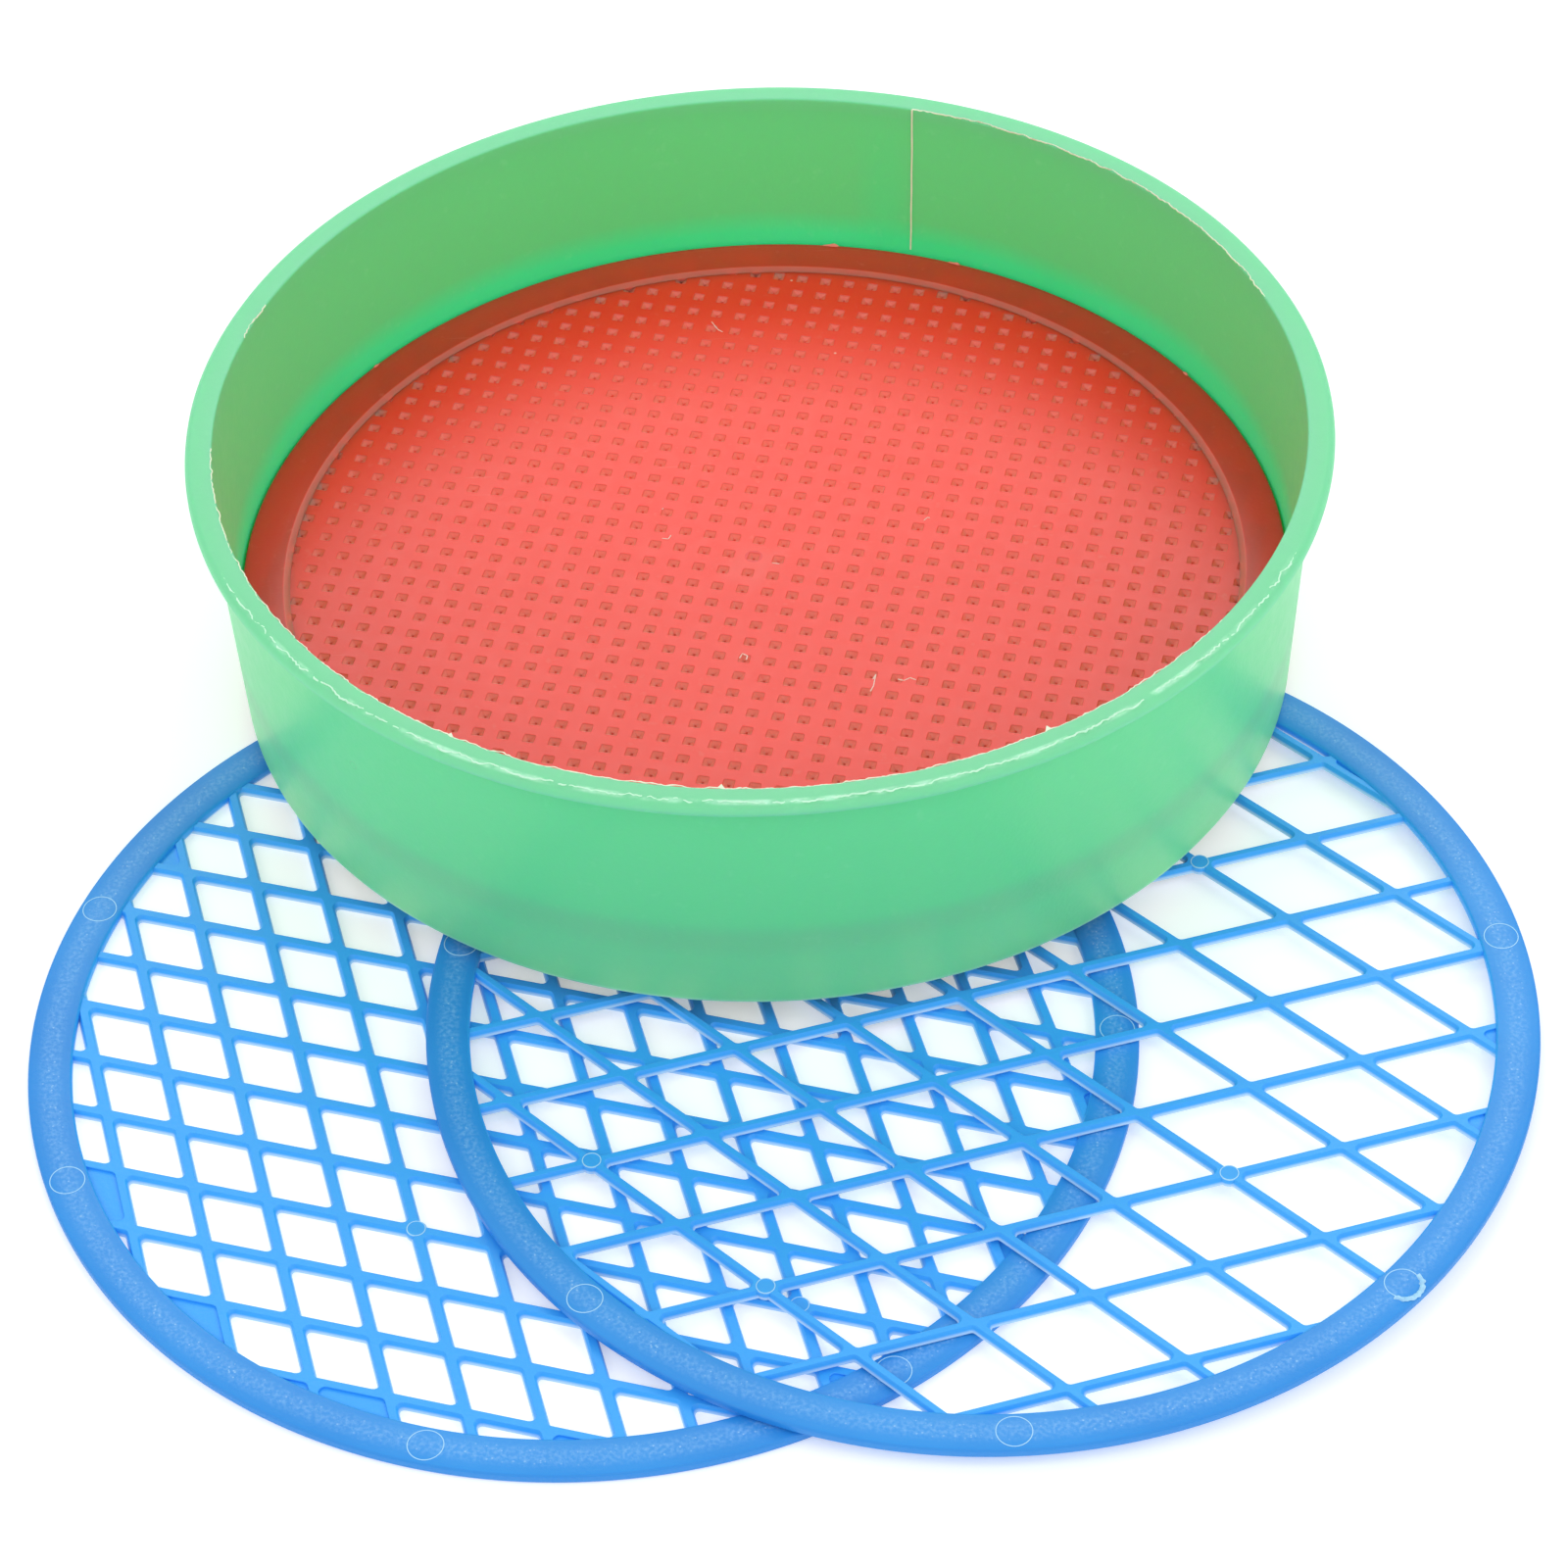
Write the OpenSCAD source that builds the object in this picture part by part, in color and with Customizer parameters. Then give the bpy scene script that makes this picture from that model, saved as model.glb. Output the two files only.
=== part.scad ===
// Sand sieve: a round hoop that holds one fine mesh disc on its inner ledge and leans on two
// spare discs with wider meshes. All three discs share one outline, so each of them fits the hoop.

/* [Mesh discs] */
// Outside diameter of all three discs
disc_d = 279; // [240:1:320]
// Width of the solid ring round each disc
ring_w = 11; // [8:0.5:14]
// Height of that ring
ring_t = 3; // [2.6:0.1:4]

/* [Fine mesh] */
// Thickness of the mesh plate
plate_t = 2; // [1:0.1:2]
// Drop from the ring's top to the plate's top
plate_drop = 1; // [0.5:0.1:1.4]
// Width of each square hole
hole_w = 3.2; // [2:0.1:4.2]
// Distance from one hole to the next
hole_pitch = 6.8; // [6:0.1:9]

/* [Spare meshes] */
// Distance between the bars of the medium mesh
medium_step = 16.7; // [14:0.1:20]
// Width of a medium bar
medium_bar_w = 3.2; // [2.4:0.1:4.4]
// Distance between the bars of the coarse mesh
coarse_step = 25.3; // [22:0.1:32]
// Width of a coarse bar
coarse_bar_w = 2.8; // [2.2:0.1:4]
// Height of the bars of both spare meshes
bar_t = 2.2; // [1.6:0.1:2.5]

/* [Hoop] */
// Height of the hoop
hoop_h = 75; // [60:1:100]
// Thickness of the hoop's wall
wall_t = 2.6; // [2:0.1:3.6]
// Outward lean of the wall, in degrees
wall_lean = 3.2; // [1:0.1:5]
// Reach of the rim beyond the wall
rim_overhang = 4.5; // [3:0.1:7]
// Thickness of the rim
rim_t = 3.5; // [3:0.1:5]
// Height of the ledge's top above the hoop's foot
ledge_h = 23.7; // [12:0.1:32]
// Width of the ledge that carries a disc
ledge_w = 15; // [10:0.5:18]
// Thickness of the ledge
ledge_t = 2.4; // [2:0.1:4]
// Radial clearance of a seated disc in the hoop
seat_gap = 0.5; // [0.3:0.1:1]

/* [Layout] */
// Distance from the hoop's middle to each spare disc, sideways
side_offset = 50; // [30:1:70]
// Distance from the hoop's middle to the spare discs, forwards
front_offset = 140; // [110:1:160]
// Gap between pieces that lie on each other
rest_gap = 0.3; // [0.2:0.1:0.5]

/* [Hidden] */
$fn = 180;
overrun = 1;

// Outline that the three discs share
disc_r = disc_d / 2;
ring_in_r = disc_r - ring_w;
ring_round = 0.5;

// Fine mesh: the plate hangs below the ring's top, inside a lip with a low step and a slope
lip_w = 1.5;
lip_step = 0.2;
plate_r = ring_in_r - lip_w;
plate_top = ring_t - plate_drop;
plate_bottom = plate_top - plate_t;

// Its plate is two sets of bars at right angles, the second a little thinner than the first
fine_bar_w = hole_pitch - hole_w;
fine_turns = [-14.2, 75.8];
fine_shift_shares = [0.56, -0.06];
fine_inset = 0.08;

// Spare meshes: two sets of bars each, with their directions and their offsets in steps
bar_root_share = 0.5;
bar_root_r = ring_in_r + ring_w * bar_root_share;
web_t = 1.5;
medium_turns = [-17, -77];
medium_shift_shares = [-0.3, -0.22];
medium_webs = [
    [-8, -6], [-8, -5], [-8, -2], [-7, -7], [-6, 2], [-5, -8], [-3, 5],
    [0, 7], [2, -6], [5, -3], [6, -2], [6, 7], [7, 6]
];
medium_pads = [[-4, -3], [-4, 2], [3, -2], [3, 3]];
coarse_turns = [14.6, -45];
coarse_shift_shares = [0.22, -0.02];
coarse_webs = [[-4, 2], [-3, 3], [1, 5], [4, -1]];
coarse_pads = [[-1, -4], [-3, 0], [-3, -4], [1, 3], [3, 0], [2, 4]];
pad_d = 5.2;

// Round marks that the ejector pins leave on a spare disc's ring
mark_d = 8.6;
mark_depth = 0.25;
mark_ring_share = 0.5;
medium_marks = [159, 199, 254, 303, 357, 48, 104];
coarse_marks = [7, 61, 113, 168, 222, 270, 315];

// Hoop
rim_round = 1.2;
foot_chamfer = 0.6;
ledge_rib = 2;
seat_z = ledge_h + rest_gap;
seat_r = disc_r + seat_gap;
ledge_r = seat_r - ledge_w;
rim_under_z = hoop_h - rim_t;
rim_r = wall_in(hoop_h) + wall_t + rim_overhang;

// Stack: medium mesh on the ground, coarse mesh on it, and the hoop leans on that one
coarse_z = ring_t + rest_gap;
stack_h = coarse_z + ring_t + rest_gap;

// The hoop's foot touches the ground at its back, and lies on the coarse mesh from the place
// where the edge of its foot crosses the edge of that disc
foot_r = wall_out(0) - foot_chamfer;
disc_away = norm([side_offset, front_offset]);
cross_turn = acos((pow(foot_r, 2) + pow(disc_away, 2) - pow(disc_r, 2)) / (2 * foot_r * disc_away));
cross_ahead = foot_r * sin(atan2(front_offset, side_offset) - cross_turn);
hoop_lean = atan(stack_h / (foot_r + cross_ahead));

// The middle of the whole layout's footprint is the origin
rim_behind = foot_r + rim_round + (rim_r - foot_r - rim_round) * cos(hoop_lean)
    + (hoop_h - rim_round) * sin(hoop_lean);
hoop_y = (front_offset + disc_r - rim_behind) / 2;
spare_y = hoop_y - front_offset;

function wall_in(z) = seat_r + (z - seat_z) * tan(wall_lean);
function wall_out(z) = wall_in(z) + wall_t;

function along(turn) = [cos(turn), sin(turn)];

// Place where bar i of the first set crosses bar j of the second
function crossing(i, j, step, turns, shares) =
    let (
        first = (i + shares[0]) * step,
        second = (j + shares[1]) * step
    )
    (first * along(turns[1]) - second * along(turns[0])) / sin(turns[1] - turns[0]);

// Section of a bar w wide and t high, with its corners rounded by r, its inner foot at the origin
module round_section(w, t, r) {
    translate([r, 0]) square([w - 2 * r, t]);
    translate([0, r]) square([w, t - 2 * r]);
    for (x = [r, w - r], z = [r, t - r]) translate([x, z]) circle(r = r);
}

module disc_ring() {
    rotate_extrude() translate([ring_in_r, 0]) round_section(ring_w, ring_t, ring_round);
}

// Ring of the fine mesh, with the lip that steps and slopes down to the plate
module lipped_ring() {
    rotate_extrude() {
        translate([ring_in_r, 0]) round_section(ring_w, ring_t, ring_round);
        polygon([
            [plate_r, plate_bottom],
            [ring_in_r + ring_w / 2, plate_bottom],
            [ring_in_r + ring_w / 2, ring_t],
            [ring_in_r, ring_t],
            [plate_r, plate_top + lip_step]
        ]);
    }
}

// Outline of one set of parallel bars, each rooted in the ring, out to the offset last_off
module bar_set(turn, step, share, bar_w, last_off) {
    reach = ceil(ring_in_r / step);
    rotate(turn) for (i = [-reach : reach]) {
        off = (i + share) * step;
        if (abs(off) < last_off)
            translate([0, off]) square([2 * sqrt(pow(bar_root_r, 2) - pow(off, 2)), bar_w], center = true);
    }
}

// Leans a piece of the hoop back about the rearmost point of the hoop's foot
module leaned() {
    translate([0, hoop_y + foot_r, 0]) rotate([-hoop_lean, 0, 0]) translate([0, -foot_r, 0]) children();
}

module fine_mesh() {
    color("tomato") leaned() translate([0, 0, seat_z]) {
        lipped_ring();
        for (set = [0, 1])
            translate([0, 0, plate_bottom + set * fine_inset])
                linear_extrude(plate_t - 2 * set * fine_inset)
                    bar_set(fine_turns[set], hole_pitch, fine_shift_shares[set], fine_bar_w, plate_r);
    }
}

// Thin web that fills a cut-off cell between two bars and the ring
module web(cell, step, turns, shares) {
    linear_extrude(web_t) intersection() {
        circle(r = bar_root_r);
        polygon([
            for (corner = [[0, 0], [1, 0], [1, 1], [0, 1]])
                crossing(cell[0] + corner[0], cell[1] + corner[1], step, turns, shares)
        ]);
    }
}

module marked_ring(marks) {
    difference() {
        disc_ring();
        for (turn = marks)
            rotate(turn) translate([ring_in_r + ring_w * mark_ring_share, 0, ring_t - mark_depth])
                cylinder(h = mark_depth + overrun, d = mark_d);
    }
}

module spare_disc(step, bar_w, turns, shares, webs, pads, marks) {
    marked_ring(marks);
    linear_extrude(bar_t) {
        for (set = [0, 1]) bar_set(turns[set], step, shares[set], bar_w, ring_in_r - bar_w);
        for (pad = pads) translate(crossing(pad[0], pad[1], step, turns, shares)) circle(d = pad_d);
    }
    for (cell = webs) web(cell, step, turns, shares);
}

module medium_mesh() {
    color("dodgerblue") translate([-side_offset, spare_y, 0])
        spare_disc(medium_step, medium_bar_w, medium_turns, medium_shift_shares,
            medium_webs, medium_pads, medium_marks);
}

module coarse_mesh() {
    color("dodgerblue") translate([side_offset, spare_y, coarse_z])
        spare_disc(coarse_step, coarse_bar_w, coarse_turns, coarse_shift_shares,
            coarse_webs, coarse_pads, coarse_marks);
}

module rim_section() {
    root = wall_in(rim_under_z);
    translate([root, rim_under_z]) square([rim_r - rim_round - root, rim_t]);
    translate([root, rim_under_z + rim_round]) square([rim_r - root, rim_t - 2 * rim_round]);
    for (z = [rim_under_z + rim_round, hoop_h - rim_round])
        translate([rim_r - rim_round, z]) circle(r = rim_round);
}

module wall_section() {
    polygon([
        [wall_in(0) + foot_chamfer, 0],
        [wall_out(0) - foot_chamfer, 0],
        [wall_out(foot_chamfer), foot_chamfer],
        [wall_out(hoop_h), hoop_h],
        [wall_in(hoop_h), hoop_h],
        [wall_in(foot_chamfer), foot_chamfer]
    ]);
}

module ledge_section() {
    ledge_under_z = ledge_h - ledge_t;
    polygon([
        [ledge_r, ledge_h],
        [ledge_r, ledge_under_z],
        [wall_in(ledge_under_z) - ledge_rib, ledge_under_z],
        [wall_in(ledge_under_z - ledge_rib), ledge_under_z - ledge_rib],
        [wall_out(ledge_under_z - ledge_rib) - wall_t / 2, ledge_under_z - ledge_rib],
        [wall_out(ledge_h) - wall_t / 2, ledge_h]
    ]);
}

module hoop() {
    color("mediumseagreen") leaned() rotate_extrude() {
        wall_section();
        rim_section();
        ledge_section();
    }
}

hoop();
fine_mesh();
medium_mesh();
coarse_mesh();
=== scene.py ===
# Looks of the sand sieve: a green hoop that holds a red fine mesh and leans on two blue spare meshes
import math

import bmesh
import bpy
from mathutils import Matrix, Vector, noise


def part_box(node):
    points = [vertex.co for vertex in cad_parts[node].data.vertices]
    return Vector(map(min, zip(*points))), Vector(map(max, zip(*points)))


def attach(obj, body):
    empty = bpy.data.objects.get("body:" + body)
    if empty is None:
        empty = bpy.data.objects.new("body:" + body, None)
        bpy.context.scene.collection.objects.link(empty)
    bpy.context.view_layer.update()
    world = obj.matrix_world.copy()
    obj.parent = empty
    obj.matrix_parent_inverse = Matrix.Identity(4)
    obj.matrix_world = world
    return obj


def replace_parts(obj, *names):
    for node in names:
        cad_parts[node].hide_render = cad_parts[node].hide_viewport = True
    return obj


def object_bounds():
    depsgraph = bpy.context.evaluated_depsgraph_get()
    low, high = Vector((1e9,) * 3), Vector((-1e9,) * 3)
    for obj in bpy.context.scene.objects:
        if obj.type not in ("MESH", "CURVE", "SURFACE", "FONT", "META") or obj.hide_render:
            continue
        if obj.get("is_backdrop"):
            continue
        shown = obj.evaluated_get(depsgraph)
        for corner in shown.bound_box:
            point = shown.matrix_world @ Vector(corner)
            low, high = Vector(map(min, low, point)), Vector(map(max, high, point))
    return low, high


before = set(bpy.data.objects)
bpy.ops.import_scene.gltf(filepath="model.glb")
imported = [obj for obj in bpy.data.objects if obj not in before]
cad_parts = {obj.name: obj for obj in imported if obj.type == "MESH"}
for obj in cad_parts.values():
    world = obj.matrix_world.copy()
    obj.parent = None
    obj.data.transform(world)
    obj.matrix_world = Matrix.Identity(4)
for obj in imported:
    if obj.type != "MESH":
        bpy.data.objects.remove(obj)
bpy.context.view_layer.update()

MM = 0.001
UP = Vector((0, 0, 1))

# Mesh discs
RING_W = 11 * MM
RING_T = 3 * MM
RING_ROUND = 0.7 * MM
RING_DOME = 0.3 * MM
RING_STEPS = 8
PLATE_T = 2 * MM
PLATE_TOP = RING_T - 1 * MM
LIP_W = 1.5 * MM
HOLE_W = 3.2 * MM
HOLE_DRAFT = 1.2 * MM
HOLE_SLOPED = 0.95 * MM
FINE_STEP = 6.8 * MM
FINE_TURNS = (-14.2, 75.8)
FINE_SHARES = (0.56, -0.06)
BAR_T = 2.2 * MM
BAR_SLOPE = 0.7 * MM
BAR_EDGE = 0.1 * MM
BAR_ROOT = 5.5 * MM
WEB_T = 1.5 * MM
PAD_D = 5.2 * MM
PAD_LIFT = 0.02 * MM
MARK_D = 8.6 * MM

MEDIUM = {
    "step": 16.7 * MM,
    "bar_w": 3.2 * MM,
    "turns": (-17, -77),
    "shares": (-0.3, -0.22),
    "webs": [
        (-8, -6), (-8, -5), (-8, -2), (-7, -7), (-6, 2), (-5, -8), (-3, 5),
        (0, 7), (2, -6), (5, -3), (6, -2), (6, 7), (7, 6),
    ],
    "pads": [(-4, -3), (-4, 2), (3, -2), (3, 3)],
    "marks": (159, 199, 254, 303, 357, 48, 104),
    "torn": (),
}
COARSE = {
    "step": 25.3 * MM,
    "bar_w": 2.8 * MM,
    "turns": (14.6, -45),
    "shares": (0.22, -0.02),
    "webs": [(-4, 2), (-3, 3), (1, 5), (4, -1)],
    "pads": [(-1, -4), (-3, 0), (-3, -4), (1, 3), (3, 0), (2, 4)],
    "marks": (7, 61, 113, 168, 222, 270, 315),
    "torn": (315,),
}

# Hoop, which leans back from the upright
LEAN = math.radians(2.2006)
HOOP_H = 75 * MM
WALL_T = 2.6 * MM
WALL_LEAN = math.tan(math.radians(3.2))
RIM_T = 3.5 * MM
RIM_OVERHANG = 4.5 * MM
LEDGE_H = 23.7 * MM
LEDGE_W = 15 * MM
LEDGE_T = 2.4 * MM
LEDGE_RIB = 2 * MM

# Segments round a turned spare ring, and round the hoop and the fine mesh
SPARE_SEGMENTS = 360
LEANED_SEGMENTS = 720

# Floor: its grey, and the light that it gives of itself
FLOOR_GREY = 0.86
FLOOR_GLOW = 0.3
FLOOR_SIZE = 12

# Light of the sky, and lamps by name, place, size and power, which all aim at the origin
SKY_LIGHT = 0.71
LAMPS = (
    ("back_light", (0.1, 1.7, 1.5), (1.6, 1.0), 14),
    ("left_light", (-1.6, -0.5, 1.3), (1.0, 1.2), 7),
    ("right_light", (1.6, -0.6, 1.4), (1.0, 1.2), 9),
    ("front_light", (0.1, -1.7, 1.8), (1.6, 1.0), 7),
)

# Colours of the plastics, and pairs of colours for flash and hairs
GREEN = (0.066, 0.80, 0.375)
GREEN_DEEP = (0.052, 0.755, 0.33)
# Outer wall: painted shade, a duller green than the inside
GREEN_OUTSIDE_SHADE = (0.15, 0.625, 0.265)
# Rim's top: painted shade, a duller green for the light it catches
GREEN_RIM_SHADE = (0.18, 0.615, 0.335)
# Low on the outer wall: painted light, as if from the floor
GREEN_FOOT_LIGHT = (0.20, 0.76, 0.31)
# Pale green: dust, and a painted highlight along the foot of the outer wall
GREEN_PALE = (0.42, 0.84, 0.54)
# Painted shade of the band at the seat on the outer wall, and the ring of the ejector mark
GREEN_SHADE_AND_MARK = (0.18, 0.55, 0.26)
# Painted highlight on the front of the rim
GREEN_HIGHLIGHT = (0.52, 0.90, 0.68)
GREEN_SPECK = (0.05, 0.20, 0.08)
RED = (0.94, 0.036, 0.013)
RED_DEEP = (0.92, 0.030, 0.010)
# Pale red: scratches and dust, and a painted highlight on the lip
RED_PALE = (0.95, 0.18, 0.12)
# Hole walls: painted light, paler than the plate so that they show as bright as its top
RED_LIT = (1.0, 0.185, 0.13)
RED_LIT_DEEP = (1.0, 0.15, 0.10)
RED_WHITE = (1.0, 0.62, 0.55)
RED_OUTLINE = (0.72, 0.01, 0.01)
# Painted shade on the red ring and at the top of the holes' walls
RED_SHADE = (0.66, 0.035, 0.015)
RED_SMUDGE = (0.80, 0.09, 0.06)
RED_SPECK = (0.95, 0.62, 0.50)
BLUE = (0.022, 0.29, 0.78)
# Deeper blue: random tone, and painted shade on the ring's outer edge
BLUE_DEEP = (0.014, 0.24, 0.70)
BLUE_BAR = (0.035, 0.38, 0.94)
BLUE_PALE = (0.28, 0.56, 0.92)
BLUE_SPECK = (0.45, 0.72, 0.95)
# Painted light low on the blue bars, as if lit through from below
BLUE_BACKLIT = (0.50, 0.72, 0.96)
CREAM = ((0.82, 0.92, 0.66), (0.90, 0.95, 0.78))
PALE_LINE = ((0.40, 0.84, 0.56), (0.72, 0.96, 0.80))
PALE_LINT = ((0.96, 0.70, 0.60), (0.98, 0.82, 0.74))
RED_FLASH = ((0.90, 0.18, 0.12), (0.92, 0.26, 0.18))
BLUE_FLASH = ((0.30, 0.62, 0.92), (0.45, 0.75, 0.95))

# Light inside each plastic: its share, and how far red, green and blue travel
GREEN_INNER = (0.6, (3 * MM, 8 * MM, 4 * MM))
RED_INNER = (0.8, (6 * MM, 0.9 * MM, 0.6 * MM))
HOLE_INNER = (0.9, (9 * MM, 2 * MM, 1.5 * MM))
BLUE_INNER = (0.08, (0.5 * MM, 1.2 * MM, 2 * MM))
FLASH_INNER = (0.0, (MM, MM, MM))

PLASTIC_IOR = 1.49

# Marks of the moulding, from the foot of the hoop's axis and from the middle of the red disc
GREEN_MARK = Vector((-104.8, -98.6, 47)) * MM
GATE = Vector((-2, -2, 2)) * MM
GATE_HOLE = Vector((-2.8, 1.13, 2)) * MM
SEAM_TURN = 71
SEAM_FOOT = 28 * MM
SEAM_STEPS = 80
# Turns of the taller bursts of flash along the rim
RIM_BURSTS = (45.9, 42.3, 40.3, 31.4, 18.4, 56, 63, 160, -62, -95, -123)
# Turns where flash along the rim starts and ends, and its height
RIM_FLASH = ((71, 17, 0.7 * MM), (-38, -146, 0.3 * MM), (157, 163, 0.5 * MM), (-146, -178, 0.2 * MM))
# Line along the front of the rim: its first turn and its step in degrees, and its number of points
RIM_LINE_START = -158
RIM_LINE_STEP = 0.09
RIM_LINE_COUNT = 1500
# Hairs and crumbs on the fine mesh, as paths in mm
LINT = (
    ((43.5, 13.4), (44.5, 14.6), (45.3, 14.3)),
    ((27.0, -50.2), (27.9, -48.3), (27.1, -52.8), (25.9, -55.5)),
    ((33.6, -50.5), (35.1, -51.2), (36.8, -50.2), (38.7, -51.4)),
    ((-27.2, 10.1), (-25.6, 9.7), (-24.6, 11.7)),
    ((-27.1, 22.4), (-26.7, 22.9)),
    ((-12.2, 104.7), (-10.4, 100.9), (-8.8, 99.5)),
    ((-7.5, -39.8), (-6.7, -38.1), (-5.4, -39.0), (-5.8, -41.0)),
    ((2.1, -1.9), (4.7, -2.5)),
)
# Middle and half width, in degrees, of each bit of flash on the red ring
RING_FLASH = ((80.6, 1.0), (65.5, 0.8), (140, 0.6), (31, 0.5))

# Camera: place from the photograph's perspective, seen from the middle of the hoop's foot
CAMERA_TARGET = Vector((-0.98, -8.81, 0)) * MM
CAMERA_RISE = math.radians(41.31)
CAMERA_ROLL = math.radians(-2.04)
CAMERA_DISTANCE = 1323.7 * MM
SENSOR = 36
FILL = 0.965
AIM_ROUNDS = 6


def round_corner(before, corner, after, radius, steps):
    """Points of the arc that rounds a corner of an outline"""
    if radius == 0:
        return [corner]
    back, on = (before - corner).normalized(), (after - corner).normalized()
    half = back.angle(on) / 2
    centre = corner + (back + on).normalized() * (radius / math.sin(half))
    start = corner + back * (radius / math.tan(half)) - centre
    end = corner + on * (radius / math.tan(half)) - centre
    turn = math.atan2(start.x * end.y - start.y * end.x, start.dot(end))
    return [centre + Matrix.Rotation(turn * k / steps, 2) @ start for k in range(steps + 1)]


def soft_outline(corners, steps=4):
    """Closed outline from (x, z, radius) corners"""
    points = []
    for k, (x, z, radius) in enumerate(corners):
        before, after = corners[k - 1], corners[(k + 1) % len(corners)]
        points += round_corner(Vector(before[:2]), Vector((x, z)), Vector(after[:2]), radius, steps)
    return points


def bridge(bm, a, b, closed=True):
    """Faces between two rows of vertices; a closed row joins its last vertex to its first"""
    count = len(a)
    for i in range(count if closed else count - 1):
        j = (i + 1) % count
        bm.faces.new((a[i], a[j], b[j], b[i]))


def lathe(bm, outline, segments, wobble=None):
    """Turns a closed outline round the Z axis; wobble moves a point by (r, z, angle)"""
    rings = []
    for k in range(segments):
        angle = 2 * math.pi * k / segments
        ring = []
        for r, z in outline:
            if wobble:
                r, z = wobble(r, z, angle)
            ring.append(bm.verts.new((r * math.cos(angle), r * math.sin(angle), z)))
        rings.append(ring)
    for k, ring in enumerate(rings):
        bridge(bm, ring, rings[(k + 1) % segments])


def mesh_of(name, bm):
    """Mesh made from a bmesh, which is freed"""
    mesh = bpy.data.meshes.new(name)
    bm.to_mesh(mesh)
    bm.free()
    return mesh


def in_scene(name, data):
    """New object in the scene"""
    made = bpy.data.objects.new(name, data)
    bpy.context.scene.collection.objects.link(made)
    return made


def finished(name, bm, place, body, materials, sharp=32, whole=True):
    """Object from a bmesh: put in its place, shaded smooth between sharp edges, riding on its body"""
    if whole:
        bmesh.ops.recalc_face_normals(bm, faces=bm.faces)
    mesh = mesh_of(name, bm)
    mesh.transform(place)
    mesh.shade_smooth()
    mesh.set_sharp_from_angle(angle=math.radians(sharp))
    for material in materials:
        mesh.materials.append(material)
    piece = in_scene(name, mesh)
    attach(piece, body)
    return piece


def detail(name, bm, place, body, material, slot):
    """Small open piece, such as flash or a hair, whose faces keep their sides"""
    finished(name, bm, place, body, [material], sharp=60, whole=False)


def seat(node, outline, lean=0.0):
    """Turn and shift that bring a turned outline, leaned back, into its node's box"""
    low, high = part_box(node)
    across, up = math.cos(lean), math.sin(lean)
    behind = max(r * across + z * up for r, z in outline)
    ahead = min(z * up - r * across for r, z in outline)
    lowest = min(z * across - r * up for r, z in outline)
    place = Vector(((low.x + high.x) / 2, (low.y + high.y - behind - ahead) / 2, low.z - lowest))
    return Matrix.Translation(place) @ Matrix.Rotation(-lean, 4, "X")


def reach(node):
    """Largest radius of a round node"""
    low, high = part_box(node)
    return (high.x - low.x) / 2


def along(turn):
    """Level direction at a turn in degrees"""
    return Vector((math.cos(math.radians(turn)), math.sin(math.radians(turn))))


def crossing(i, j, step, turns, shares):
    """Place where bar i of the first set crosses bar j of the second"""
    first, second = (i + shares[0]) * step, (j + shares[1]) * step
    slant = math.sin(math.radians(turns[1] - turns[0]))
    return (first * along(turns[1]) - second * along(turns[0])) / slant


def cell_corners(i, j, step, turns, shares):
    """Corners of the cell from crossing (i, j) to crossing (i + 1, j + 1)"""
    around = ((0, 0), (1, 0), (1, 1), (0, 1))
    return [crossing(i + a, j + b, step, turns, shares) for a, b in around]


def inset_hole(corners, inset, radius, steps):
    """A cell's outline moved in by inset, with rounded corners, as one list of points per corner"""
    sides = [(corners[(k + 1) % 4] - corners[k]).normalized() for k in range(4)]
    inner = []
    for k in range(4):
        slant = abs(sides[k - 1].x * sides[k].y - sides[k - 1].y * sides[k].x)
        inner.append(corners[k] + (sides[k] - sides[k - 1]) * (inset / slant))
    return [round_corner(inner[k - 1], inner[k], inner[(k + 1) % 4], radius, steps) for k in range(4)]


def net_face(bm, corners, hole, z):
    """Flat strip between a cell's outline and its hole; returns the hole's vertices"""
    outer = [bm.verts.new((c.x, c.y, z)) for c in corners]
    inner = [[bm.verts.new((p.x, p.y, z)) for p in group] for group in hole]
    for k in range(4):
        for i in range(len(inner[k]) - 1):
            bm.faces.new((outer[k], inner[k][i], inner[k][i + 1]))
        bm.faces.new((outer[k], inner[k][-1], inner[(k + 1) % 4][0], outer[(k + 1) % 4]))
    return [v for group in inner for v in group]


def net_cell(bm, corners, levels, steps, web_top=None):
    """One cell of a net: levels are (inset, z, corner radius) from the top down"""
    holes = [inset_hole(corners, inset, radius, steps) for inset, z, radius in levels]
    loop = net_face(bm, corners, holes[0], levels[0][1])
    last = len(levels) - 1
    for n in range(1, last + 1):
        z = levels[n][1]
        if web_top is not None and z <= web_top:
            lower = [bm.verts.new((v.co.x, v.co.y, web_top)) for v in loop]
        elif n == last:
            lower = net_face(bm, corners, holes[n], z)
        else:
            lower = [bm.verts.new((p.x, p.y, z)) for group in holes[n] for p in group]
        bridge(bm, loop, lower)
        loop = lower
        if web_top is not None and z <= web_top:
            bm.faces.new(loop)
            bm.faces.new([bm.verts.new((c.x, c.y, levels[-1][1])) for c in corners])
            return


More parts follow.
